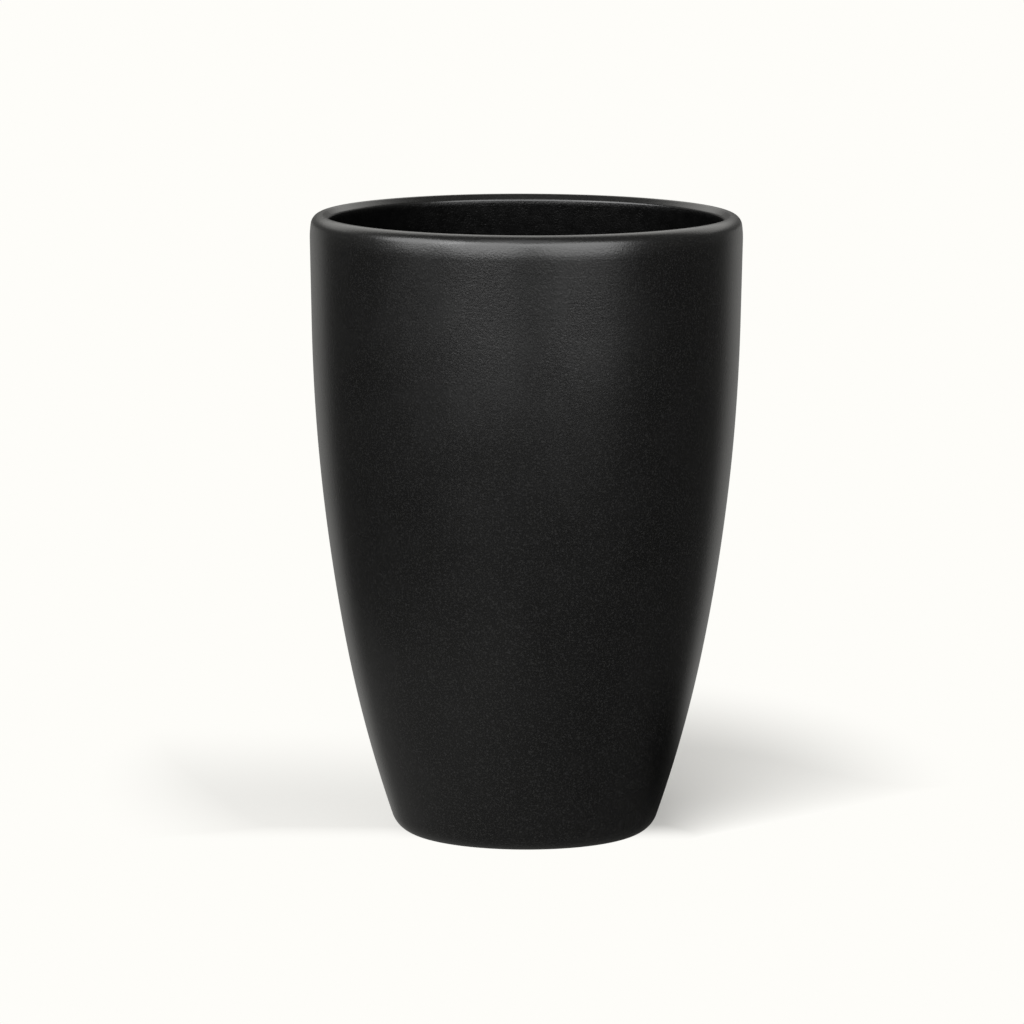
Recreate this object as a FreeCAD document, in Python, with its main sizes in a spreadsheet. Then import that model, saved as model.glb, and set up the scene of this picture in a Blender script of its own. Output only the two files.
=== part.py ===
import FreeCAD, Part
import math
import os

import Sketcher

os.makedirs("parts", exist_ok=True)
doc = FreeCAD.newDocument("TallPlanter")

# Driving sizes in millimetres, angles in degrees. Heights are measured up from the floor.
SIZES = (
    ("height", 510, "floor to the crest of the lip"),
    ("lipRadius", 176.8, "greatest outside radius, just under the lip"),
    ("bandDepth", 90, "crest down to the end of the straight drafted band"),
    ("bandDraft", 1.25, "lean of that band, wider at the top"),
    ("upperBow", 1550, "bow of the wall from the band down to the bow change"),
    ("bowChange", 150, "height where the bow tightens"),
    ("lowerBow", 1055, "bow of the wall below the bow change"),
    ("cornerRadius", 22, "outside corner between wall and standing ring"),
    ("lipOuter", 9, "outer rounding of the lip"),
    ("lipNose", 5.7, "full round inner nose of the turned-in lip"),
    ("lipEase", 80, "soft blend that eases the lip into the band"),
    ("easeAngle", 8, "tilt of the surface where lip rounding and ease meet"),
    ("coveRadius", 2.5, "hollow corner under the lip"),
    ("wallThick", 5, "laminate of the wall"),
    ("floorThick", 8, "laminate of the floor over the hollow underside"),
    ("heelRadius", 24, "inside corner between wall and floor"),
    ("ringWidth", 20, "flat of the standing ring"),
    ("recessDepth", 5, "hollow of the underside inside the standing ring"),
    ("recessRun", 5, "slope of the hollow's side, measured across"),
    ("edgeRound", 1.5, "rounding of the moulded edges underneath and at the sump"),
    ("drainRadius", 11, "drain hole"),
    ("drainChamfer", 0.5, "broken edges of the drain hole"),
    ("sumpDepth", 4, "dish around the drain, so that the plug stays under the floor"),
    ("sumpGap", 4, "room around the plug's flange"),
    ("sumpRun", 5, "slope of the dish's side, measured across"),
    ("flangeLap", 6, "how far the plug's flange laps over the edge of the drain hole"),
    ("flangeThick", 2.6, "plug flange, thickness"),
    ("flangeRound", 0.9, "plug flange, rounded edges"),
    ("plugClear", 0.1, "gap from the plug's ribs to the drain hole, all round"),
    ("ribProud", 0.6, "half-round sealing rib, how far it stands out of the shank"),
    ("ribDrop", 1.1, "underside of the flange down to the first rib"),
    ("ribPitch", 1.9, "sealing rib to sealing rib"),
    ("ribCount", 2, "sealing ribs"),
    ("tipClear", 1.2, "end of the shank up from the ground"),
    ("tipHeight", 2.4, "tapered end of the shank"),
    ("tipTaper", 1.8, "how much smaller in radius the end is"),
    ("coreWall", 4.8, "shank's wall round the blind hollow that lets it squeeze"),
    ("coreDepth", 6.2, "depth of that hollow"),
    ("coreRound", 1.5, "rounded end of that hollow"),
    ("gripLength", 17, "finger grip across the flange"),
    ("gripWidth", 3.6, "finger grip, width"),
    ("gripHeight", 1.2, "finger grip, height above the flange"),
    ("gripRound", 0.8, "finger grip, rounded top edges"),
)

size = {name: value for name, value, _ in SIZES}

sheet = doc.addObject("Spreadsheet::Sheet", "Sizes")
for row, (name, value, note) in enumerate(SIZES, 1):
    sheet.set(f"A{row}", name)
    sheet.set(f"B{row}", str(value))
    sheet.set(f"C{row}", note)
    sheet.setAlias(f"B{row}", name)
doc.recompute()

FLOOR_TOP = "Sizes.recessDepth + Sizes.floorThick"
SUMP_FLOOR = FLOOR_TOP + " - Sizes.sumpDepth"  # the flange of the plug sits on it
FLANGE = "Sizes.drainRadius + Sizes.flangeLap"
floor_top = size["recessDepth"] + size["floorThick"]
sump_floor = floor_top - size["sumpDepth"]
flange = size["drainRadius"] + size["flangeLap"]

START, END, CENTRE = 1, 2, 3  # the points of a line or an arc, as a constraint counts them
ORIGIN = (-1, 1)
ACROSS_AXIS, UP_AXIS = -1, -2


def new_body(label):
    body = doc.addObject("PartDesign::Body", label)
    body.Label = label
    return body


def new_sketch(body, role, name):
    """An empty sketch on one of the body's own origin planes."""
    plane = next(f for f in body.Origin.OriginFeatures if f.Role == role)
    sketch = body.newObject("Sketcher::SketchObject", name)
    sketch.AttachmentSupport = [(plane, "")]
    sketch.MapMode = "FlatFace"
    return sketch


def line(sketch, start, end):
    segment = Part.LineSegment(FreeCAD.Vector(*start, 0), FreeCAD.Vector(*end, 0))
    return sketch.addGeometry(segment, False)


def arc(sketch, centre, radius, low, high):
    """Counterclockwise arc; low and high are the angles of its ends in radians."""
    circle = Part.Circle(FreeCAD.Vector(*centre, 0), FreeCAD.Vector(0, 0, 1), radius)
    return sketch.addGeometry(Part.ArcOfCircle(circle, low, high), False)


def rule(sketch, kind, *places):
    return sketch.addConstraint(Sketcher.Constraint(kind, *places))


def dimension(sketch, name, formula, kind, *places):
    """A named dimension that takes its value from the sheet."""
    index = rule(sketch, kind, *places)
    sketch.renameConstraint(index, name)
    sketch.setExpression(f"Constraints.{name}", formula)


def place_point(sketch, name, side, formulas, rough):
    """Puts the start of a side at (across, up), each a formula; the word axis puts it on an axis."""
    kinds = (("DistanceX", UP_AXIS, "X"), ("DistanceY", ACROSS_AXIS, "Y"))
    for (kind, axis, letter), formula, value in zip(kinds, formulas, rough):
        if formula == "axis":
            rule(sketch, "PointOnObject", side, START, axis)
        else:
            dimension(sketch, name + letter, formula, kind, *ORIGIN, side, START, value)


def outline(sketch, corners):
    """A closed outline of straight sides; each corner has a name, a rough place and two formulas."""
    rough = [place for _, place, _ in corners]
    sides = [line(sketch, a, b) for a, b in zip(rough, rough[1:] + rough[:1])]
    for side, following in zip(sides, sides[1:] + sides[:1]):
        rule(sketch, "Coincident", side, END, following, START)
    for side, (name, place, formulas) in zip(sides, corners):
        place_point(sketch, name, side, formulas, place)


def round_outline(sketch, name, formula, radius, place=(0, 0), place_formulas=None):
    """A circle, on the sketch's origin unless it has formulas for its place."""
    circle = Part.Circle(FreeCAD.Vector(*place, 0), FreeCAD.Vector(0, 0, 1), radius)
    ring = sketch.addGeometry(circle, False)
    dimension(sketch, name + "Radius", formula, "Radius", ring, radius)
    if place_formulas:
        across, up = place_formulas
        dimension(sketch, name + "X", across, "DistanceX", *ORIGIN, ring, CENTRE, place[0])
        dimension(sketch, name + "Y", up, "DistanceY", *ORIGIN, ring, CENTRE, place[1])
    else:
        rule(sketch, "Coincident", ring, CENTRE, *ORIGIN)


def require_cut(name, before, after):
    if after > before - 1:
        raise RuntimeError(f"{name} removed nothing")


def turn(body, kind, sketch, name):
    """Revolution or Groove: the sketch turned all the way round its vertical axis."""
    before = body.Shape.Volume if kind == "Groove" else None
    feature = body.newObject("PartDesign::" + kind, name)
    feature.Profile = sketch
    feature.ReferenceAxis = (sketch, ["V_Axis"])
    feature.Angle = 360
    doc.recompute()
    if kind == "Groove":
        require_cut(name, before, body.Shape.Volume)
    return feature


def pocket_up(body, sketch, name, depth=None):
    """Cuts the sketch upwards, right through or to a depth given as a formula."""
    before = body.Shape.Volume
    feature = body.newObject("PartDesign::Pocket", name)
    feature.Profile = sketch
    feature.Reversed = True
    if depth:
        feature.setExpression("Length", depth)
    else:
        feature.Type = "ThroughAll"
    doc.recompute()
    require_cut(name, before, body.Shape.Volume)
    return feature


def edges_where(feature, test):
    return [f"Edge{i}" for i, edge in enumerate(feature.Shape.Edges, 1) if test(edge)]


def rings(*wanted):
    """Test for the round edges about the vertical axis, given as (radius, height) pairs."""
    def test(edge):
        if not isinstance(edge.Curve, Part.Circle):
            return False
        radius, height = edge.Curve.Radius, edge.Curve.Center.z
        return any(abs(radius - r) < 0.01 and abs(height - z) < 0.01 for r, z in wanted)

    return test


def soften(body, kind, name, base, formula, test):
    """Fillet or Chamfer on the edges of the base that pass the test."""
    feature = body.newObject("PartDesign::" + kind, name)
    feature.Base = (base, edges_where(base, test))
    feature.setExpression("Radius" if kind == "Fillet" else "Size", formula)
    doc.recompute()
    return feature


def polar(centre, radius, angle):
    return (centre[0] + radius * math.cos(angle), centre[1] + radius * math.sin(angle))


# ---- planter shell: one turned section, then the hollow underside, the sump and the drain hole
def wall_section(body):
    """Half section of wall, lip and floor. Every bend runs tangent into the next one."""
    lean = math.radians(size["bandDraft"])
    tilt = math.radians(size["easeAngle"])
    wall = size["wallThick"]

    # Outside, worked down from the crest: lip rounding, ease, band, two bows, corner.
    ease_x = size["lipRadius"] - size["lipEase"]
    lip_step = size["lipEase"] - size["lipOuter"]
    ease_c = (ease_x, size["height"] - size["lipOuter"] - lip_step * math.sin(tilt))
    lip_c = polar(ease_c, lip_step, tilt)
    crest = (lip_c[0], size["height"])
    band_top = polar(ease_c, size["lipEase"], -lean)
    band_end_z = size["height"] - size["bandDepth"]
    band_end = (band_top[0] - (band_top[1] - band_end_z) * math.tan(lean), band_end_z)
    upper_c = polar(band_end, -size["upperBow"], -lean)
    change = math.asin((upper_c[1] - size["bowChange"]) / size["upperBow"])
    change_p = polar(upper_c, size["upperBow"], -change)
    lower_c = polar(change_p, -size["lowerBow"], -change)
    corner_reach = size["lowerBow"] - size["cornerRadius"]
    corner_turn = math.asin((lower_c[1] - size["cornerRadius"]) / corner_reach)
    corner_c = polar(lower_c, corner_reach, -corner_turn)

    # Inside: the nose of the lip, the cove under it, then the same bows one wall further in.
    nose_c = (crest[0], crest[1] - size["lipNose"])
    under_z = nose_c[1] - size["lipNose"]
    cove_z = under_z - size["coveRadius"]
    inner_band_end = polar(band_end, -wall, -lean)
    cove_x = inner_band_end[0] + (cove_z - inner_band_end[1]) * math.tan(lean)
    cove_c = (cove_x - size["coveRadius"] / math.cos(lean), cove_z)
    heel_reach = size["lowerBow"] - wall - size["heelRadius"]
    heel_z = floor_top + size["heelRadius"]
    heel_turn = math.asin((lower_c[1] - heel_z) / heel_reach)
    heel_c = polar(lower_c, heel_reach, -heel_turn)

    right, up, down = 0.0, math.pi / 2, -math.pi / 2
    s = new_sketch(body, "XZ_Plane", "WallSection")
    base = line(s, (0, 0), (corner_c[0], 0))
    corner = arc(s, corner_c, size["cornerRadius"], down, -corner_turn)
    lower = arc(s, lower_c, size["lowerBow"], -corner_turn, -change)
    upper = arc(s, upper_c, size["upperBow"], -change, -lean)
    band = line(s, band_end, band_top)
    ease = arc(s, ease_c, size["lipEase"], -lean, tilt)
    lip = arc(s, lip_c, size["lipOuter"], tilt, up)
    nose = arc(s, nose_c, size["lipNose"], up, up + math.pi)
    under = line(s, (nose_c[0], under_z), (cove_c[0], under_z))
    cove = arc(s, cove_c, size["coveRadius"], right - lean, up)
    inner_band = line(s, polar(cove_c, size["coveRadius"], -lean), inner_band_end)
    inner_upper = arc(s, upper_c, size["upperBow"] - wall, -change, -lean)
    inner_lower = arc(s, lower_c, size["lowerBow"] - wall, -heel_turn, -change)
    heel = arc(s, heel_c, size["heelRadius"], down, -heel_turn)
    floor = line(s, (heel_c[0], floor_top), (0, floor_top))
    axis = line(s, (0, floor_top), (0, 0))
    spoke = s.addGeometry(
        Part.LineSegment(FreeCAD.Vector(*upper_c, 0), FreeCAD.Vector(*change_p, 0)), True
    )

    smooth = (
        (base, END, corner, START),
        (corner, END, lower, START),
        (lower, END, upper, START),
        (upper, END, band, START),
        (band, END, ease, START),
        (ease, END, lip, START),
        (lip, END, nose, START),
        (nose, END, under, START),
        (under, END, cove, END),
        (cove, START, inner_band, START),
        (inner_band, END, inner_upper, END),
        (inner_upper, START, inner_lower, END),
        (inner_lower, START, heel, END),
        (heel, START, floor, START),
    )
    for joint in smooth:
        rule(s, "Tangent", *joint)
    rule(s, "Coincident", floor, END, axis, START)
    rule(s, "Coincident", axis, END, base, START)
    rule(s, "Coincident", base, START, *ORIGIN)
    for flat in (base, under, floor):
        rule(s, "Horizontal", flat)
    rule(s, "Vertical", axis)
    rule(s, "Vertical", lip, CENTRE, lip, END)

    radii = (
        ("corner", corner, "Sizes.cornerRadius"),
        ("lower", lower, "Sizes.lowerBow"),
        ("upper", upper, "Sizes.upperBow"),
        ("ease", ease, "Sizes.lipEase"),
        ("lip", lip, "Sizes.lipOuter"),
        ("nose", nose, "Sizes.lipNose"),
        ("cove", cove, "Sizes.coveRadius"),
        ("innerUpper", inner_upper, "Sizes.upperBow - Sizes.wallThick"),
        ("innerLower", inner_lower, "Sizes.lowerBow - Sizes.wallThick"),
        ("heel", heel, "Sizes.heelRadius"),
    )
    for name, curve, formula in radii:
        dimension(s, name + "Radius", formula, "Radius", curve, s.Geometry[curve].Radius)

    heights = (
        ("crest", lip, END, "Sizes.height", size["height"]),
        ("bandEnd", band, START, "Sizes.height - Sizes.bandDepth", band_end_z),
        ("bowChange", upper, START, "Sizes.bowChange", size["bowChange"]),
        ("floorTop", axis, START, FLOOR_TOP, floor_top),
    )
    for name, curve, point, formula, value in heights:
        dimension(s, name + "Height", formula, "DistanceY", *ORIGIN, curve, point, value)

    dimension(s, "easeX", "Sizes.lipRadius - Sizes.lipEase", "DistanceX", *ORIGIN, ease, CENTRE, ease_x)
    dimension(s, "lean", "Sizes.bandDraft * 1 deg", "Angle", band, START, UP_AXIS, START, lean)
    lip_rise = "(Sizes.lipEase - Sizes.lipOuter) * sin(Sizes.easeAngle * 1 deg)"
    rise = lip_step * math.sin(tilt)
    dimension(s, "lipRise", lip_rise, "DistanceY", ease, CENTRE, lip, CENTRE, rise)

    # The inside follows the outside: same centres of bow, and the bow changes on the same spoke.
    rule(s, "Parallel", band, inner_band)
    rule(s, "Coincident", inner_upper, CENTRE, upper, CENTRE)
    rule(s, "Coincident", spoke, START, upper, CENTRE)
    rule(s, "Coincident", spoke, END, upper, START)
    rule(s, "PointOnObject", inner_upper, START, spoke)

    outer_ring = rule(s, "DistanceX", *ORIGIN, corner, CENTRE, corner_c[0])
    s.renameConstraint(outer_ring, "outerRing")
    s.setDriving(outer_ring, False)
    doc.recompute()
    return s


def planter_shell():
    body = new_body("planter_shell")
    section = wall_section(body)
    wall = turn(body, "Revolution", section, "Wall")

    ring = section.getDatum("outerRing").Value - size["ringWidth"]
    depth = size["recessDepth"]
    recess_top = ring - size["recessRun"]
    ring_formula = "WallSection.Constraints.outerRing / 1 mm - Sizes.ringWidth"
    sketch = new_sketch(body, "XZ_Plane", "UndersideSection")
    outline(sketch, (
        ("middle", (0, 0), ("axis", "axis")),
        ("ring", (ring, 0), (ring_formula, "axis")),
        ("ceiling", (recess_top, depth), (ring_formula + " - Sizes.recessRun", "Sizes.recessDepth")),
        ("top", (0, depth), ("axis", "Sizes.recessDepth")),
    ))
    turn(body, "Groove", sketch, "UndersideHollow")

    dish = flange + size["sumpGap"]
    brim = dish + size["sumpRun"]
    dish_formula = FLANGE + " + Sizes.sumpGap"
    sketch = new_sketch(body, "XZ_Plane", "SumpSection")
    outline(sketch, (
        ("low", (0, sump_floor), ("axis", SUMP_FLOOR)),
        ("dish", (dish, sump_floor), (dish_formula, SUMP_FLOOR)),
        ("brim", (brim, floor_top), (dish_formula + " + Sizes.sumpRun", FLOOR_TOP)),
        ("high", (0, floor_top), ("axis", FLOOR_TOP)),
    ))
    turn(body, "Groove", sketch, "DrainSump")

    sketch = new_sketch(body, "XY_Plane", "DrainCircle")
    round_outline(sketch, "drain", "Sizes.drainRadius", size["drainRadius"])
    hole = pocket_up(body, sketch, "DrainHole")
    rounded = soften(
        body, "Fillet", "MouldedEdges", hole, "Sizes.edgeRound",
        rings((ring, 0), (recess_top, depth), (dish, sump_floor), (brim, floor_top)),
    )
    drain = size["drainRadius"]
    soften(
        body, "Chamfer", "DrainEdges", rounded, "Sizes.drainChamfer",
        rings((drain, depth), (drain, sump_floor)),
    )
    return body


# ---- drain plug: modelled from the tip of its shank up, then set down in the sump
def finger_grip(body, height_formula):
    """A low bar with round ends across the top of the flange."""
    sketch = new_sketch(body, "XY_Plane", "GripSlot")
    sketch.setExpression("AttachmentOffset.Base.z", height_formula)
    end = size["gripWidth"] / 2
    reach = size["gripLength"] / 2 - end
    quarter = math.pi / 2
    front = line(sketch, (-reach, -end), (reach, -end))
    right = arc(sketch, (reach, 0), end, -quarter, quarter)
    back = line(sketch, (reach, end), (-reach, end))
    left = arc(sketch, (-reach, 0), end, quarter, 3 * quarter)
    sides = (front, right, back, left)
    for side, following in zip(sides, sides[1:] + sides[:1]):
        rule(sketch, "Tangent", side, END, following, START)
    rule(sketch, "Horizontal", front)
    rule(sketch, "Horizontal", back)
    rule(sketch, "Symmetric", right, CENTRE, left, CENTRE, *ORIGIN)
    dimension(sketch, "gripEnd", "Sizes.gripWidth / 2", "Radius", right, end)
    reach_formula = "(Sizes.gripLength - Sizes.gripWidth) / 2"
    dimension(sketch, "gripReach", reach_formula, "DistanceX", *ORIGIN, right, CENTRE, reach)
    pad = body.newObject("PartDesign::Pad", "FingerGrip")
    pad.Profile = sketch
    pad.setExpression("Length", "Sizes.gripHeight")
    doc.recompute()
    return pad


def drain_plug():
    body = new_body("drain_plug")
    shank = size["drainRadius"] - size["plugClear"] - size["ribProud"]
    tip = shank - size["tipTaper"]
    reach = sump_floor - size["tipClear"]
    top = reach + size["flangeThick"]
    shank_formula = "Sizes.drainRadius - Sizes.plugClear - Sizes.ribProud"
    reach_formula = SUMP_FLOOR + " - Sizes.tipClear"
    top_formula = reach_formula + " + Sizes.flangeThick"
    sketch = new_sketch(body, "XZ_Plane", "PlugSection")
    outline(sketch, (
        ("middle", (0, 0), ("axis", "axis")),
        ("tip", (tip, 0), (shank_formula + " - Sizes.tipTaper", "axis")),
        ("taper", (shank, size["tipHeight"]), (shank_formula, "Sizes.tipHeight")),
        ("neck", (shank, reach), (shank_formula, reach_formula)),
        ("flangeLow", (flange, reach), (FLANGE, reach_formula)),
        ("flangeHigh", (flange, top), (FLANGE, top_formula)),
        ("top", (0, top), ("axis", top_formula)),
    ))
    turn(body, "Revolution", sketch, "FlangeAndShank")

    sketch = new_sketch(body, "XZ_Plane", "RibSection")
    rib_height = reach - size["ribDrop"]
    round_outline(sketch, "rib", "Sizes.ribProud", size["ribProud"], (shank, rib_height),
                  (shank_formula, reach_formula + " - Sizes.ribDrop"))
    rib = turn(body, "Revolution", sketch, "SealingRib")
    ribs = body.newObject("PartDesign::LinearPattern", "SealingRibs")
    ribs.Originals = [rib]
    ribs.Direction = (sketch, ["V_Axis"])
    ribs.Reversed = True
    ribs.setExpression("Length", "Sizes.ribPitch * (Sizes.ribCount - 1)")
    ribs.setExpression("Occurrences", "Sizes.ribCount")
    body.Tip = ribs
    doc.recompute()

    sketch = new_sketch(body, "XY_Plane", "CoreCircle")
    core = shank - size["coreWall"]
    round_outline(sketch, "core", shank_formula + " - Sizes.coreWall", core)
    pocket_up(body, sketch, "Core", "Sizes.coreDepth")

    grip = finger_grip(body, top_formula)
    grip_top = top + size["gripHeight"]
    softened = soften(
        body, "Fillet", "GripEdges", grip, "Sizes.gripRound",
        lambda edge: edge.BoundBox.ZMin > grip_top - 0.01,
    )
    softened = soften(
        body, "Fillet", "FlangeEdges", softened, "Sizes.flangeRound",
        rings((flange, reach), (flange, top)),
    )
    soften(
        body, "Fillet", "CoreEnd", softened, "Sizes.coreRound",
        rings((core, size["coreDepth"])),
    )
    body.setExpression("Placement.Base.z", "Sizes.tipClear")
    return body


bodies = [planter_shell(), drain_plug()]
doc.recompute()

for obj in doc.Objects:
    if "Invalid" in obj.State or "Error" in obj.State:
        raise RuntimeError(f"{obj.Name} did not rebuild: {obj.State}")
    if obj.TypeId == "Sketcher::SketchObject" and not obj.FullyConstrained:
        raise RuntimeError(f"{obj.Name} is not fully constrained")
for body in bodies:
    shape = body.Shape
    if shape.isNull() or not shape.isValid() or len(shape.Solids) != 1:
        raise RuntimeError(f"{body.Label} is not one valid solid")
for body in bodies:
    body.Shape.exportStep(f"parts/{body.Label}.step")
    box = body.Shape.optimalBoundingBox()
    print(f"{body.Label}: {box.XLength:.1f} x {box.YLength:.1f} x {box.ZLength:.1f} mm,",
          f"{body.Shape.Volume / 1000:.1f} cm3, from {box.ZMin:.2f} to {box.ZMax:.2f} mm up")
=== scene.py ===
import math

import bpy
from mathutils import Euler, Matrix, Vector, noise


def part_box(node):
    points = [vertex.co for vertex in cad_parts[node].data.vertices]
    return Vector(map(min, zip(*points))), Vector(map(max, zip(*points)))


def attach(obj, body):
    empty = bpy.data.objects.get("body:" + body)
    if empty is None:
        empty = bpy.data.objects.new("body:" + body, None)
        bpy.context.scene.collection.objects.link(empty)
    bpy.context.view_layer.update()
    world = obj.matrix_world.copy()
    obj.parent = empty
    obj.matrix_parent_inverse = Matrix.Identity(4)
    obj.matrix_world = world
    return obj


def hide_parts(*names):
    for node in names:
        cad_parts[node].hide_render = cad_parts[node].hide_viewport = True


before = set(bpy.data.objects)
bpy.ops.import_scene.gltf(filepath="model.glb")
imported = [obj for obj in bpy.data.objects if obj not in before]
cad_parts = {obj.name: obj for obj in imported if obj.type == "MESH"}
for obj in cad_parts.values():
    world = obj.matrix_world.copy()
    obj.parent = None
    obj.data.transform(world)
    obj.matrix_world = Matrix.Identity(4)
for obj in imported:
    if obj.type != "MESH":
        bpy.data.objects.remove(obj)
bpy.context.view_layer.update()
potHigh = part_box("planter_shell")[1]
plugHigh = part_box("drain_plug")[1]
mm = 0.001
print("frame loaded:", ", ".join(sorted(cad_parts)))


def hexColour(code):
    # sRGB hex to the linear colour that a socket takes
    channels = [int(code[i:i + 2], 16) / 255 for i in (1, 3, 5)]
    linear = [c / 12.92 if c <= 0.04045 else ((c + 0.055) / 1.055) ** 2.4 for c in channels]
    return (*linear, 1.0)


def addNode(tree, kind, inputs=(), **settings):
    # inputs go by name or in order; one that is a node or its output is linked, the others are values
    node = tree.nodes.new("ShaderNode" + kind)
    for name, value in settings.items():
        setattr(node, name, value)
    for socket, value in inputs.items() if isinstance(inputs, dict) else enumerate(inputs):
        if isinstance(value, bpy.types.Node):
            value = value.outputs[0]
        if isinstance(value, bpy.types.NodeSocket):
            tree.links.new(value, node.inputs[socket])
        else:
            node.inputs[socket].default_value = value
    return node


def newMaterial(name):
    material = bpy.data.materials.new(name)
    material.use_nodes = True
    material.node_tree.nodes.clear()
    return material, material.node_tree


# the photo's view: a long lens a little above the mouth
view = {
    "distance": 6.1659,   # in front of the pot's axis
    "height": 1.1409,
    "pitchDown": 8.0901,  # degrees
    "turnLeft": 0.1027,   # degrees, which puts the pot a little right of the middle
    "roll": 0.1702,       # degrees
    "sensor": 36,         # mm
    "lens": 267.05,       # mm
    "farClip": 200,
}


def makeCamera():
    data = bpy.data.cameras.new("photoView")
    data.sensor_width = view["sensor"]
    data.lens = view["lens"]
    data.clip_end = view["farClip"]
    camera = bpy.data.objects.new("photoView", data)
    bpy.context.scene.collection.objects.link(camera)
    camera.matrix_world = (
        Matrix.Translation((0, -view["distance"], view["height"]))
        @ Matrix.Rotation(math.radians(view["turnLeft"]), 4, "Z")
        @ Matrix.Rotation(math.radians(90 - view["pitchDown"]), 4, "X")
        @ Matrix.Rotation(math.radians(view["roll"]), 4, "Z")
    )
    bpy.context.scene.camera = camera


makeCamera()
print("camera placed")


noiseSpan = (0.3, 0.7)   # nearly all of a noise lies between these
octaveShare = 0.55       # how strong each finer layer of a noise is

gelcoat = {
    "colour": "#050505",
    "dulled": "#070707",
    "drySpray": "#1e1e1e",      # paler grains in the spray
    "ior": 1.6,                 # filled polyester resin
    "roughness": (0.25, 0.29),
    "coatRoughness": 0.28,
    "coatIor": 1.5,
    "cloudSize": 45 * mm,       # slow change of sheen from spraying
    "dulledFrom": (0.35, 0.65),
    "peelSize": 3.4 * mm,       # orange peel
    "peelShare": 0.6,           # of the relief, beside the grain's 1
    "grainSize": 1.4 * mm,      # dry spray between the lumps, drawn as coarse as it needs to show
    "grainFrom": (0.5, 0.72),
    "bumpDepth": 0.08 * mm,
    "streakSize": (200 * mm, 200 * mm, 2.5 * mm),  # rubbing marks that run round under the lip
    "streakRise": (0.75 * potHigh.z, 0.95 * potHigh.z),
    "streakShare": (0.05, 0.4),  # of the relief, below and above that rise
    "dust": "#8a8780",
    "speckSpacing": 32 * mm,
    "speckSize": 0.35 * mm,
}


def gelcoatMaterial():
    # Satin black gelcoat on glass fibre, sprayed and flatted: deep black, broad soft highlights,
    # a fine orange peel that breaks them up and a few specks of dust caught in the spray.
    g = gelcoat
    material, tree = newMaterial("satinBlackGelcoat")
    place = addNode(tree, "TexCoord").outputs["Object"]
    aroundPot = addNode(tree, "Mapping", {"Vector": place, "Scale": g["streakSize"]}, vector_type="TEXTURE")
    cloud, peel, grain, streak = (
        addNode(tree, "TexNoise", {
            "Vector": where, "Scale": 1 / size, "Detail": detail, "Roughness": octaveShare,
        }) for where, size, detail in (
            (place, g["cloudSize"], 2.0), (place, g["peelSize"], 1.0),
            (place, g["grainSize"], 1.0), (aroundPot, 1.0, 1.0),
        )
    )
    height = addNode(tree, "SeparateXYZ", (place,)).outputs["Z"]
    streaked = addNode(tree, "MapRange", (height, *g["streakRise"], *g["streakShare"]),
                       interpolation_type="SMOOTHSTEP")
    relief = addNode(tree, "Math", (peel, g["peelShare"], grain), operation="MULTIPLY_ADD")
    relief = addNode(tree, "Math", (streak, streaked, relief), operation="MULTIPLY_ADD")
    bump = addNode(tree, "Bump", {"Height": relief, "Distance": g["bumpDepth"]})
    roughness = addNode(tree, "MapRange", (cloud, *noiseSpan, *g["roughness"]))
    dust = addNode(tree, "TexVoronoi", {"Vector": place, "Scale": 1 / g["speckSpacing"]})
    speck = (g["speckSize"] / g["speckSpacing"], 0.0)
    colour = hexColour(g["colour"])
    for pattern, span, added in (
        (cloud, g["dulledFrom"], g["dulled"]),
        (grain, g["grainFrom"], g["drySpray"]),
        (dust, speck, g["dust"]),
    ):
        share = addNode(tree, "MapRange", (pattern, *span, 0.0, 1.0))
        colour = addNode(tree, "Mix", {0: share, 6: colour, 7: hexColour(added)}, data_type="RGBA").outputs[2]
    shader = addNode(tree, "BsdfPrincipled", {
        "Base Color": colour, "Roughness": roughness, "IOR": g["ior"], "Normal": bump,
        "Coat Weight": 1.0, "Coat Roughness": g["coatRoughness"], "Coat IOR": g["coatIor"],
        "Coat Normal": bump,
    })
    addNode(tree, "OutputMaterial", {"Surface": shader})
    return material


laminate = {
    "colour": "#040404",
    "resinRich": "#070707",
    "ior": 1.54,
    "roughness": (0.28, 0.36),
    "strandSize": (45 * mm, 1.6 * mm, 1.6 * mm),  # a bundle of the mat, drawn as coarse as it needs to show
    "strandFrom": (0.55, 0.78),
    "strandDirections": 9,
    "strandShift": (0.11, 0.07, 0.05),  # from one direction's pattern to the next
    "bumpDepth": 0.5 * mm,
    "lumpSize": 9 * mm,
    "lumpShare": 0.8,                   # of the relief, beside the strands' 1
    "sprayEdge": potHigh.z - 75 * mm,   # gelcoat sprayed in over the lip fills the relief down to here
    "sprayFade": 40 * mm,
    "sprayWander": 30 * mm,
    "sprayedShare": 0.15,               # of the relief, where it is filled
}


def strandDirection(index, count):
    # evenly spread over a half sphere, as a turn from the X axis
    up = (index + 0.5) / count
    around = index * math.pi * (3 - math.sqrt(5))
    return Euler((0.0, -math.asin(up * 2 - 1), around))


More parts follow.
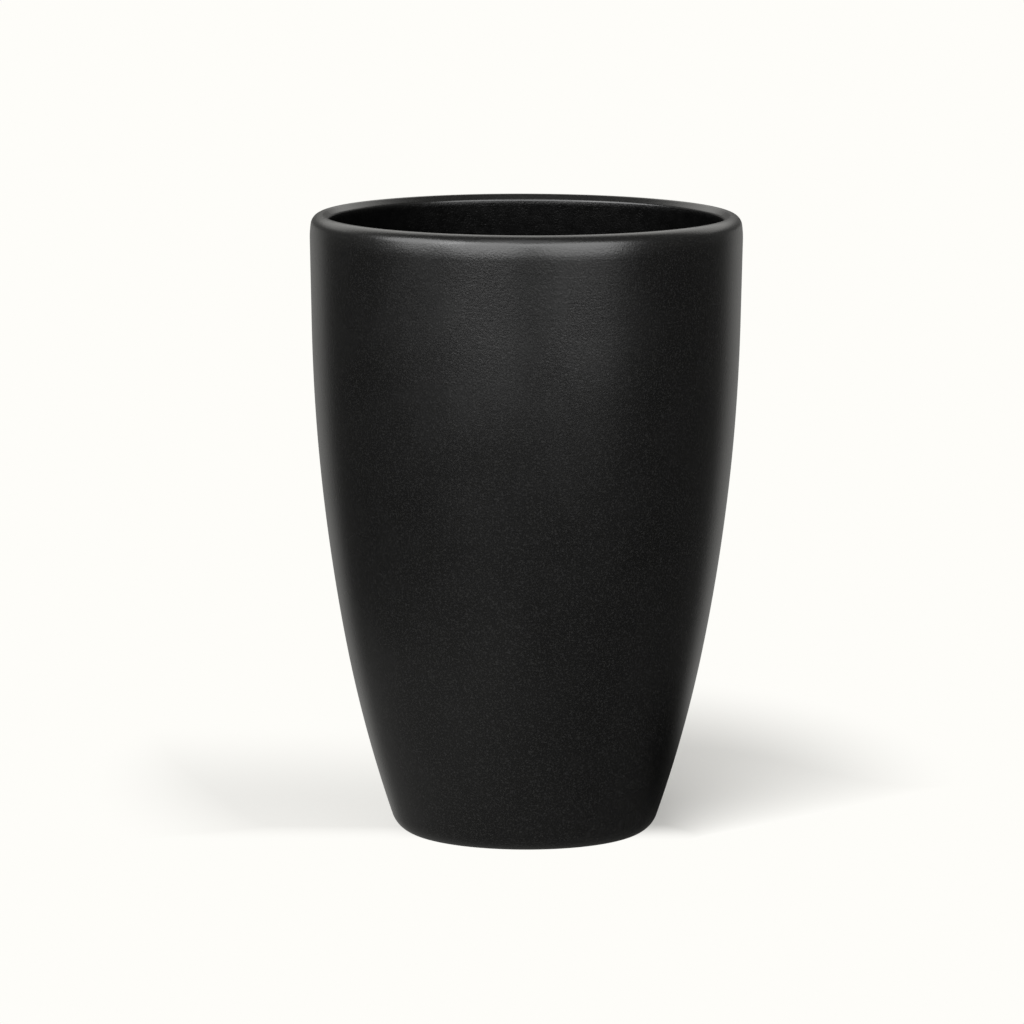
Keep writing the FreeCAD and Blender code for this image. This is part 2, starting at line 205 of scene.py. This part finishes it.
def laminateMaterial():
    # Hand-laid chopped strand mat under a brushed black flow coat: the glass bundles stand up
    # through the resin in every direction, and the sheen is uneven.
    m = laminate
    material, tree = newMaterial("blackFlowcoatOverStrandMat")
    place = addNode(tree, "TexCoord").outputs["Object"]
    strands = 0.0
    for index in range(m["strandDirections"]):
        along = addNode(tree, "Mapping", {
            "Vector": place, "Location": [index * shift for shift in m["strandShift"]],
            "Rotation": strandDirection(index, m["strandDirections"]), "Scale": m["strandSize"],
        }, vector_type="TEXTURE")
        bundle = addNode(tree, "TexNoise", {"Vector": along, "Scale": 1.0, "Detail": 0.0})
        ridge = addNode(tree, "MapRange", (bundle, *m["strandFrom"], 0.0, 1.0),
                        interpolation_type="SMOOTHSTEP")
        strands = addNode(tree, "Math", (strands, ridge), operation="MAXIMUM")
    lumps, wander = (
        addNode(tree, "TexNoise", {
            "Vector": place, "Scale": 1 / size, "Detail": detail, "Roughness": octaveShare,
        }) for size, detail in ((m["lumpSize"], 3.0), (m["sprayWander"], 2.0))
    )
    height = addNode(tree, "SeparateXYZ", (place,)).outputs["Z"]
    wandering = addNode(tree, "Math", (wander, m["sprayFade"], height), operation="MULTIPLY_ADD")
    fill = (m["sprayEdge"], m["sprayEdge"] + m["sprayFade"], 1.0, m["sprayedShare"])
    bare = addNode(tree, "MapRange", (wandering, *fill), interpolation_type="SMOOTHSTEP")
    relief = addNode(tree, "Math", (lumps, m["lumpShare"], strands), operation="MULTIPLY_ADD")
    relief = addNode(tree, "Math", (relief, bare), operation="MULTIPLY")
    bump = addNode(tree, "Bump", {"Height": relief, "Distance": m["bumpDepth"]})
    roughness = addNode(tree, "MapRange", (lumps, *noiseSpan, *m["roughness"]))
    colour = addNode(tree, "Mix", {
        0: strands, 6: hexColour(m["resinRich"]), 7: hexColour(m["colour"]),
    }, data_type="RGBA")
    shader = addNode(tree, "BsdfPrincipled", {
        "Base Color": colour.outputs[2], "Roughness": roughness, "IOR": m["ior"], "Normal": bump,
    })
    addNode(tree, "OutputMaterial", {"Surface": shader})
    return material


cutEdge = {
    "resin": "#23241f",
    "glass": "#7d7f74",
    "roughness": 0.8,
    "ior": 1.54,
    "fibreSize": 0.5 * mm,
    "fibreEnd": (0.1, 0.6),  # of that size, from the middle of an end to the resin round it
    "bumpDepth": 0.15 * mm,
}


def cutEdgeMaterial():
    # The drilled edge of the laminate: dull, grey-green ends of glass in dark resin.
    c = cutEdge
    material, tree = newMaterial("drilledLaminateEdge")
    place = addNode(tree, "TexCoord").outputs["Object"]
    fibre = addNode(tree, "TexVoronoi", {"Vector": place, "Scale": 1 / c["fibreSize"]})
    ends = addNode(tree, "MapRange", (fibre, *c["fibreEnd"], 1.0, 0.0))
    colour = addNode(tree, "Mix", {
        0: ends, 6: hexColour(c["resin"]), 7: hexColour(c["glass"]),
    }, data_type="RGBA")
    bump = addNode(tree, "Bump", {"Height": ends, "Distance": c["bumpDepth"]})
    shader = addNode(tree, "BsdfPrincipled", {
        "Base Color": colour.outputs[2], "Roughness": c["roughness"], "IOR": c["ior"], "Normal": bump,
    })
    addNode(tree, "OutputMaterial", {"Surface": shader})
    return material


rubber = {
    "colour": "#1b1b1c",
    "bloom": "#2c2c2b",
    "ior": 1.52,
    "roughness": (0.55, 0.75),
    "bloomSize": 9 * mm,
    "bloomFrom": (0.4, 0.75),
    "grainSize": 0.5 * mm,   # spark-eroded mould texture
    "bumpDepth": 0.05 * mm,
}


def rubberMaterial():
    # Moulded EPDM rubber: near black, dull, with a faint grey bloom and a fine mould grain.
    r = rubber
    material, tree = newMaterial("mouldedEpdmRubber")
    place = addNode(tree, "TexCoord").outputs["Object"]
    bloom, grain = (
        addNode(tree, "TexNoise", {
            "Vector": place, "Scale": 1 / size, "Detail": detail, "Roughness": octaveShare,
        }) for size, detail in ((r["bloomSize"], 3.0), (r["grainSize"], 1.0))
    )
    bloomed = addNode(tree, "MapRange", (bloom, *r["bloomFrom"], 0.0, 1.0))
    colour = addNode(tree, "Mix", {
        0: bloomed, 6: hexColour(r["colour"]), 7: hexColour(r["bloom"]),
    }, data_type="RGBA")
    roughness = addNode(tree, "MapRange", (bloom, *noiseSpan, *r["roughness"]))
    bump = addNode(tree, "Bump", {"Height": grain, "Distance": r["bumpDepth"]})
    shader = addNode(tree, "BsdfPrincipled", {
        "Base Color": colour.outputs[2], "Roughness": roughness, "IOR": r["ior"], "Normal": bump,
    })
    addNode(tree, "OutputMaterial", {"Surface": shader})
    return material


# planter shell: one turned laminate wall, its lip turned in, with floor, sump and drain hole
shell = {
    "crest": potHigh.z,            # the frame gives the overall size
    "lipRadius": potHigh.x,
    "bandDepth": 90 * mm,          # crest down to the end of the straight drafted band
    "bandDraft": 1.25,             # degrees, wider at the top
    "upperBow": 1550 * mm,
    "bowChange": 150 * mm,         # height where the bow tightens
    "lowerBow": 1055 * mm,
    "cornerRadius": 22 * mm,
    "lipOuter": 9 * mm,
    "lipReach": 5.7 * mm,          # crest to the innermost edge of the lip, measured across
    "lipSlope": 43,                # degrees, the flat that runs down from the crest to that edge
    "crestRound": 2.3 * mm,
    "innerRound": 2.2 * mm,        # edge between that flat and the upright inner face
    "lipEase": 80 * mm,
    "easeAngle": 8,                # degrees
    "backing": 75 * mm,            # crest to where the laminate built up under the lip ends
    "wall": 5 * mm,
    "floorTop": 13 * mm,
    "sumpFloor": 9 * mm,
    "sumpRadius": plugHigh.x + 4 * mm,  # room round the plug's flange
    "sumpRun": 5 * mm,
    "drainRadius": 11 * mm,
    "recess": 5 * mm,              # hollow of the underside
    "recessRun": 5 * mm,
    "heelRadius": 24 * mm,
    "ringWidth": 20 * mm,
    "edgeRound": 1.5 * mm,
    "drainEdge": 0.5 * mm,
    "gelcoatEdge": 0.3 * mm,       # the gelcoat wraps round the standing ring up to this height
    "segments": 300,
    "longStep": 8 * mm,            # rows on the outside
    "layStep": 4.2 * mm,           # rows on the laminate, close enough for its relief
    "bendStep": 0.85 * mm,         # rows round the lip
    "leastStep": 0.2 * mm,         # and round the smallest edges
    "sharpFrom": 50,               # degrees between faces that shade as an edge
}
finishes = ("gelcoat", "laminate", "cutEdge")


def polar(centre, radius, angle):
    return centre[0] + radius * math.cos(angle), centre[1] + radius * math.sin(angle)


def arcPoints(centre, radius, start, end, step):
    # the points of an arc, without its last one
    count = max(2, math.ceil(abs(end - start) * radius / step))
    return [polar(centre, radius, start + (end - start) * i / count) for i in range(count)]


def linePoints(start, end, step):
    count = max(1, math.ceil(math.dist(start, end) / step))
    return [(start[0] + (end[0] - start[0]) * i / count,
             start[1] + (end[1] - start[1]) * i / count) for i in range(count)]


def roundedRun(corners, step, leastStep):
    # straight runs through (radius, height, rounding) corners; each rounding is an arc
    ends = []
    for before, (x, z, rounding), after in zip(corners, corners[1:], corners[2:]):
        toBefore = Vector((before[0] - x, before[1] - z)).normalized()
        toAfter = Vector((after[0] - x, after[1] - z)).normalized()
        half = toBefore.angle(toAfter) / 2
        inset = rounding / math.tan(half)
        middle = Vector((x, z)) + (toBefore + toAfter).normalized() * (rounding / math.sin(half))
        ends.append((Vector((x, z)) + toBefore * inset, middle, Vector((x, z)) + toAfter * inset, rounding))
    points, start = [], corners[0][:2]
    for first, middle, last, rounding in ends:
        points += linePoints(start, first, step)
        low = math.atan2(first.y - middle.y, first.x - middle.x)
        high = math.atan2(last.y - middle.y, last.x - middle.x)
        turn = (high - low + math.pi) % (2 * math.pi) - math.pi
        points += arcPoints(middle, rounding, low, low + turn, max(rounding / 3, leastStep))
        start = last
    return points + linePoints(start, corners[-1][:2], step)


def shellSection():
    # the closed half section, up the outside, over the lip and down the inside: (radius, height, finish)
    s = shell
    lean, tilt = math.radians(s["bandDraft"]), math.radians(s["easeAngle"])
    up, down = math.pi / 2, -math.pi / 2
    easeC = (s["lipRadius"] - s["lipEase"],
             s["crest"] - s["lipOuter"] - (s["lipEase"] - s["lipOuter"]) * math.sin(tilt))
    lipC = polar(easeC, s["lipEase"] - s["lipOuter"], tilt)
    bandTop = polar(easeC, s["lipEase"], -lean)
    bandEndZ = s["crest"] - s["bandDepth"]
    bandEnd = (bandTop[0] - (bandTop[1] - bandEndZ) * math.tan(lean), bandEndZ)
    upperC = polar(bandEnd, -s["upperBow"], -lean)
    change = math.asin((upperC[1] - s["bowChange"]) / s["upperBow"])
    lowerC = polar(polar(upperC, s["upperBow"], -change), -s["lowerBow"], -change)
    cornerReach = s["lowerBow"] - s["cornerRadius"]
    cornerTurn = math.asin((lowerC[1] - s["cornerRadius"]) / cornerReach)
    cornerC = polar(lowerC, cornerReach, -cornerTurn)

    slope, inner = math.radians(s["lipSlope"]), lipC[0] - s["lipReach"]
    crestC = (lipC[0], s["crest"] - s["crestRound"])
    slopeTop = polar(crestC, s["crestRound"], up + slope)
    edgeX = inner + s["innerRound"] * (1 - math.sin(slope))
    slopeEnd = (edgeX, slopeTop[1] - (slopeTop[0] - edgeX) * math.tan(slope))
    edgeC = polar(slopeEnd, -s["innerRound"], up + slope)
    innerBandEnd = polar(bandEnd, -s["wall"], -lean)
    backingZ = s["crest"] - s["backing"]
    backingEnd = (innerBandEnd[0] + (backingZ - innerBandEnd[1]) * math.tan(lean), backingZ)
    heelReach = s["lowerBow"] - s["wall"] - s["heelRadius"]
    heelTurn = math.asin((lowerC[1] - s["floorTop"] - s["heelRadius"]) / heelReach)
    heelC = polar(lowerC, heelReach, -heelTurn)

    bend, far, lay = s["bendStep"], s["longStep"], s["layStep"]
    outside = arcPoints(cornerC, s["cornerRadius"], down, -cornerTurn, 1.5 * bend)
    outside += arcPoints(lowerC, s["lowerBow"], -cornerTurn, -change, far)
    outside += arcPoints(upperC, s["upperBow"], -change, -lean, far)
    outside += linePoints(bandEnd, bandTop, far)
    outside += arcPoints(easeC, s["lipEase"], -lean, tilt, 2 * bend)
    outside += arcPoints(lipC, s["lipOuter"], tilt, up, bend)
    outside += arcPoints(crestC, s["crestRound"], up, up + slope, 0.5 * bend)
    outside += linePoints(slopeTop, slopeEnd, bend)
    outside += arcPoints(edgeC, s["innerRound"], up + slope, math.pi, 0.5 * bend)
    innerWall = linePoints((inner, edgeC[1]), backingEnd, lay)
    innerWall += linePoints(backingEnd, innerBandEnd, lay)
    innerWall += arcPoints(upperC, s["upperBow"] - s["wall"], -lean, -change, lay)
    innerWall += arcPoints(lowerC, s["lowerBow"] - s["wall"], -change, -heelTurn, lay)
    innerWall += arcPoints(heelC, s["heelRadius"], -heelTurn, down, 0.5 * lay)
    edge, fine = s["edgeRound"], s["drainEdge"]
    ring = cornerC[0] - s["ringWidth"]
    straight = roundedRun((
        (heelC[0], s["floorTop"], 0.0),
        (s["sumpRadius"] + s["sumpRun"], s["floorTop"], edge),
        (s["sumpRadius"], s["sumpFloor"], edge),
        (s["drainRadius"], s["sumpFloor"], fine),
        (s["drainRadius"], s["recess"], fine),
        (ring - s["recessRun"], s["recess"], edge),
        (ring, 0.0, edge),
        (cornerC[0], 0.0, 0.0),
    ), 1.2 * lay, s["leastStep"])

    section = [(r, z, "gelcoat") for r, z in outside] + [(r, z, "laminate") for r, z in innerWall]
    for r, z in straight:
        drilled = r < s["drainRadius"] + fine and s["recess"] < z < s["sumpFloor"] - 0.01 * mm
        standing = r > ring and z < s["gelcoatEdge"]
        section.append((r, z, "cutEdge" if drilled else "gelcoat" if standing else "laminate"))
    return section


shellRelief = {
    "skinWave": 0.22 * mm,      # long waves left by the mould and the flatting, always inwards
    "skinWaveSize": 95 * mm,
    "skinRise": 12 * mm,        # they grow over this height from the ground
    "skinFrom": 80 * mm,        # radius; the ring that the pot stands on is flat
    "layWave": 0.9 * mm,        # where the laminate was rolled thicker and thinner
    "layWaveSize": 70 * mm,
    "layWaveShift": Vector((7.3, 1.9, 4.1)),  # so that they don't follow the outside's waves
    "layLump": 0.45 * mm,       # strand bundles and brush marks
    "layLumpSize": 16 * mm,
    "layLumpLayers": (0.9, 2.1, 3),  # how fast the finer ones weaken, how much finer, how many
    "layFrom": 60 * mm,         # the laminate is smooth from the crest down to here
    "fade": 45 * mm,            # and gets rougher over this height
    "seat": 30 * mm,            # radius round the drain that stays flat for the plug
    "seatFade": 15 * mm,
    "clearOfFloor": 1 * mm,     # the hollow underside smooths out down to here
    "floorFade": 3 * mm,
}


def reliefAt(point, radius, finish):
    # how far the surface stands out along its normal
    k = shellRelief
    wave = noise.noise(point / k["skinWaveSize"])
    skin = -k["skinWave"] * (0.5 + 0.5 * wave) * min(1.0, point.z / k["skinRise"])
    if finish != "laminate":
        return skin if finish == "gelcoat" and radius > k["skinFrom"] else 0.0
    flat = min(1.0, max(0.0, (radius - k["seat"]) / k["seatFade"]))
    belowLip = (shell["crest"] - k["layFrom"] - point.z) / k["fade"]
    lay = k["layWave"] * noise.noise(point / k["layWaveSize"] + k["layWaveShift"])
    lay += k["layLump"] * noise.fractal(point / k["layLumpSize"], *k["layLumpLayers"])
    aboveFloor = (point.z - k["clearOfFloor"]) / k["floorFade"]
    return lay * flat * min(1.0, max(0.0, belowLip)) * min(1.0, max(0.0, aboveFloor))


def makeShell():
    section = shellSection()
    rows, columns = len(section), shell["segments"]
    points, normals = [], []
    for i in range(rows):
        r0, z0 = section[i - 1][:2]
        r1, z1 = section[(i + 1) % rows][:2]
        normals.append(Vector((z1 - z0, r0 - r1)).normalized())
    for (r, z, finish), normal in zip(section, normals):
        for j in range(columns):
            turn = 2 * math.pi * j / columns
            across = Vector((math.cos(turn), math.sin(turn), 0))
            point = across * r + Vector((0, 0, z))
            out = across * normal.x + Vector((0, 0, normal.y))
            points.append(point + out * reliefAt(point, r, finish))
    faces, finishOf = [], []
    for i in range(rows):
        above = (i + 1) % rows
        for j in range(columns):
            k = (j + 1) % columns
            faces.append((i * columns + j, i * columns + k, above * columns + k, above * columns + j))
            finishOf.append(finishes.index(section[i][2]))
    mesh = bpy.data.meshes.new("planterShell")
    mesh.from_pydata(points, [], faces)
    for material in (gelcoatMaterial(), laminateMaterial(), cutEdgeMaterial()):
        mesh.materials.append(material)
    mesh.polygons.foreach_set("material_index", finishOf)
    mesh.shade_smooth()
    mesh.set_sharp_from_angle(angle=math.radians(shell["sharpFrom"]))
    mesh.update()
    pot = bpy.data.objects.new("planterShell", mesh)
    bpy.context.scene.collection.objects.link(pot)
    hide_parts("planter_shell")
    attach(pot, "planter")
    print("planter shell:", rows, "rows,", len(faces) * 2, "triangles")


makeShell()


def finishPlug():
    # the drain plug is the frame's own piece, with its rubber
    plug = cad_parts["drain_plug"]
    finish = rubberMaterial()
    for slot in plug.material_slots:
        slot.material = finish
    print("drain plug finished")


finishPlug()


# floor and background; a pair is where a change starts and where it is done, in metres from the
# pot's axis, X to the right and Y to the back, or in the world as parts of a direction
studio = {
    "white": "#fefdf9",
    "floorReach": 60.0,                 # half of the floor's side
    # the pot's shadow shows on the floor in an ellipse, and outside it the floor is plain white
    "shadeMiddle": (0.0, 0.25, 0.0),
    "shadeReach": (0.36, 0.55, 1.0),
    "shadeEnd": (0.33, 1.05),           # as shares of that reach
    "shadeWhite": 0.25,                 # share of plain white even in the shadow
    "shadeFront": (0.05, -0.05),        # it ends in front of the pot
    "shadeCorner": (0.105, -0.075),     # and on the right it fans out backwards from here
    "shadeFan": 42,                     # degrees
    "leftSide": (0.05, -0.12),
    "leftWhite": 0.58,                  # share of plain white in the weaker shadow on the left
    "leftFront": (0.09, -0.05),         # which ends earlier in front
    "leftBack": (0.1, 0.52),            # and behind
    # the finish mirrors some of the white floor behind the pot
    "mirrorWhite": 0.22,
    "mirrorFrom": (0.0, 0.12, 0.0),     # from the pot's axis to where the floor's directions start
    "mirrorBehind": (0.62, 0.84),       # cosine of the angle off the axis
    "mirrorAside": (0.05, 0.1),         # to either side
    "mirrorPaintedShadow": 0.9,                 # painted shadow: how much of it, and of the dim floor, the floor close by on the right loses in reflections
    "mirrorNear": (0.25, 0.6),
    "mirrorRight": (0.0, 0.1),
    "mirrorBack": (-0.12, 0.05),
    # and a dim floor elsewhere
    "dimSide": 0.04,
    "paintedLightLeft": 0.07,                    # painted light: more of it close by on the left
    "dimNear": (0.35, 0.8),
    "dimRight": 0.15,                   # share of that on the right
    "dimAcross": (0.15, -0.15),
    # a dim room lights the pot too, with a white backdrop in reflections behind it and above
    "roomRise": (0.2, 0.95),
    "roomLight": (0.1, 0.13),           # brightness below and above that rise
    "backdropWhite": 0.75,
    "backdropBehind": (0.35, 0.6),
    "backdropRise": (0.2, 0.42),
}


def whereWhite(tree, share):
    # 1 where a view or a reflection finds the white background: everywhere for the camera, and a
    # share of it for gloss and glass, since the photographed finish mirrors a dark room elsewhere
    ray = addNode(tree, "LightPath").outputs
    mirrored = addNode(tree, "Math", (ray["Is Glossy Ray"], ray["Is Transmission Ray"]), operation="MAXIMUM")
    seen = addNode(tree, "Math", (mirrored, share), operation="MULTIPLY")
    return addNode(tree, "Math", (ray["Is Camera Ray"], seen), operation="MAXIMUM"), mirrored


def plainWhite(tree, place, spot):
    # share of plain white in the floor, least in the pot's shadow
    s = studio
    fromShade = addNode(tree, "Mapping", {
        "Vector": place, "Location": s["shadeMiddle"], "Scale": s["shadeReach"],
    }, vector_type="TEXTURE")
    far = addNode(tree, "VectorMath", (fromShade,), operation="LENGTH").outputs["Value"]
    aside, behind = (
        addNode(tree, "Math", (spot[axis], corner), operation="SUBTRACT")
        for axis, corner in zip("XY", s["shadeCorner"])
    )
    fan = addNode(tree, "Math", (aside, behind), operation="ARCTAN2")
    outOfFan = addNode(tree, "MapRange", (fan, 0.0, math.radians(s["shadeFan"]), 0.0, 1.0))
    plain, inFront, left, leftFront, leftBack = (
        addNode(tree, "MapRange", (source, *span, start, 1.0), interpolation_type="SMOOTHSTEP")
        for source, span, start in (
            (far, s["shadeEnd"], 0.0),
            (spot["Y"], s["shadeFront"], 0.0),
            (spot["X"], s["leftSide"], 0.0),
            (spot["Y"], s["leftFront"], 0.0),
            (spot["Y"], s["leftBack"], s["leftWhite"]),
        )
    )
    leftEnds = addNode(tree, "Math", (leftFront, leftBack), operation="MAXIMUM")
    leftWhite = addNode(tree, "Math", (left, leftEnds), operation="MULTIPLY")
    for mask in (outOfFan, inFront, leftWhite):
        plain = addNode(tree, "Math", (plain, mask), operation="MAXIMUM")
    return addNode(tree, "MapRange", (plain, 0.0, 1.0, s["shadeWhite"], 1.0))


def mirroredFloor(tree, place, spot):
    # share of the white floor that a reflection finds, and the floor's brightness in it elsewhere, with
    # painted shadow close by on the right and painted light close by on the left
    s = studio
    away = addNode(tree, "VectorMath", (place,), operation="LENGTH").outputs["Value"]
    fromFront = addNode(tree, "VectorMath", (place, s["mirrorFrom"]), operation="ADD")
    aim = addNode(tree, "VectorMath", (fromFront,), operation="NORMALIZE")
    back = addNode(tree, "SeparateXYZ", (aim,)).outputs["Y"]
    aside = addNode(tree, "Math", (spot["X"],), operation="ABSOLUTE")
    share, offMiddle, paintedShadow, right, notFront, dim, left = (
        addNode(tree, "MapRange", (source, *span, start, end), interpolation_type="SMOOTHSTEP")
        for source, span, start, end in (
            (back, s["mirrorBehind"], 0.0, s["mirrorWhite"]),
            (aside, s["mirrorAside"], 0.0, 1.0),
            (away, s["mirrorNear"], s["mirrorPaintedShadow"], 0.0),
            (spot["X"], s["mirrorRight"], 0.0, 1.0),
            (spot["Y"], s["mirrorBack"], 0.0, 1.0),
            (away, s["dimNear"], s["paintedLightLeft"], 0.0),
            (spot["X"], s["dimAcross"], s["dimRight"], 1.0),
        )
    )
    # painted shadow: the mirrored floor darkens close by on the right, but not in front
    for mask in (right, notFront):
        paintedShadow = addNode(tree, "Math", (paintedShadow, mask), operation="MULTIPLY")
    clear = addNode(tree, "Math", (1.0, paintedShadow), operation="SUBTRACT")
    for mask in (clear, offMiddle):
        share = addNode(tree, "Math", (share, mask), operation="MULTIPLY")
    # painted light: the dim floor is brighter close by on the left
    dim = addNode(tree, "Math", (dim, left, s["dimSide"]), operation="MULTIPLY_ADD")
    return share, addNode(tree, "Math", (dim, clear), operation="MULTIPLY")


def makeFloor():
    reach = studio["floorReach"]
    mesh = bpy.data.meshes.new("studioFloor")
    corners = [(-reach, -reach, 0), (reach, -reach, 0), (reach, reach, 0), (-reach, reach, 0)]
    mesh.from_pydata(corners, [], [(0, 1, 2, 3)])
    material, tree = newMaterial("paleStudioFloor")
    place = addNode(tree, "TexCoord").outputs["Object"]
    spot = addNode(tree, "SeparateXYZ", (place,)).outputs
    share, dim = mirroredFloor(tree, place, spot)
    white, mirrored = whereWhite(tree, share)
    colour = hexColour(studio["white"])
    lit = addNode(tree, "BsdfDiffuse", {"Color": colour})
    glow = addNode(tree, "Emission", {"Color": colour, "Strength": 1.0})
    shown = addNode(tree, "MixShader", (plainWhite(tree, place, spot), lit, glow))
    # the floor as reflections find it: a dim glow, with painted shadow and painted light close to the pot
    dark = addNode(tree, "Emission", {"Color": colour, "Strength": dim})
    notWhite = addNode(tree, "Math", (1.0, white), operation="SUBTRACT")
    mirrorOnly = addNode(tree, "Math", (mirrored, notWhite), operation="MULTIPLY")
    floorShader = addNode(tree, "MixShader", (mirrorOnly, shown, dark))
    addNode(tree, "OutputMaterial", {"Surface": floorShader})
    material.cycles.emission_sampling = "NONE"  # so that every ray asks the floor by its own kind
    mesh.materials.append(material)
    floor = bpy.data.objects.new("studioFloor", mesh)
    bpy.context.scene.collection.objects.link(floor)


def makeWorld():
    world = bpy.data.worlds.new("studio")
    world.use_nodes = True
    tree = world.node_tree
    tree.nodes.clear()
    direction = addNode(tree, "TexCoord").outputs["Generated"]
    aim = addNode(tree, "SeparateXYZ", (direction,)).outputs
    room, behind, above = (
        addNode(tree, "MapRange", (source, *span, start, end), interpolation_type="SMOOTHSTEP")
        for source, span, start, end in (
            (aim["Z"], studio["roomRise"], *studio["roomLight"]),
            (aim["Y"], studio["backdropBehind"], 0.0, studio["backdropWhite"]),
            (aim["Z"], studio["backdropRise"], 0.0, 1.0),
        )
    )
    backdrop = addNode(tree, "Math", (behind, above), operation="MULTIPLY")
    strength = addNode(tree, "Mix", {0: whereWhite(tree, backdrop)[0], 2: room, 3: 1.0})
    back = addNode(tree, "Background", {"Color": hexColour(studio["white"]), "Strength": strength})
    addNode(tree, "OutputWorld", {"Surface": back})
    world.cycles.sampling_method = "NONE"  # as for the floor
    bpy.context.scene.world = world


# softboxes, in degrees: azimuth from the camera's side, plus to the right, and spread as the pot
# sees it; brightness is that of the softbox's own face, where 1 is white
lamps = {
    "farLeftSoftbox": {"azimuth": -61, "elevation": 26, "spread": 46, "brightness": 2.3},
    "leftSoftbox": {"azimuth": -22, "elevation": 19, "spread": 50, "brightness": 2.3},
    "rightSoftbox": {"azimuth": 29, "elevation": 18, "spread": 50, "brightness": 2.3},
    "topSoftbox": {"azimuth": -5, "elevation": 58, "spread": 36, "brightness": 0.6},
}


def makeLamps():
    for name, lamp in lamps.items():
        data = bpy.data.lights.new(name, "SUN")
        data.angle = math.radians(lamp["spread"])
        data.energy = lamp["brightness"] * math.pi * math.sin(data.angle / 2) ** 2
        light = bpy.data.objects.new(name, data)
        light.rotation_euler = (math.radians(90 - lamp["elevation"]), 0, math.radians(lamp["azimuth"]))
        light.visible_camera = False
        bpy.context.scene.collection.objects.link(light)


makeFloor()
makeWorld()
makeLamps()
bpy.context.scene.view_settings.view_transform = "Standard"
print("studio set")
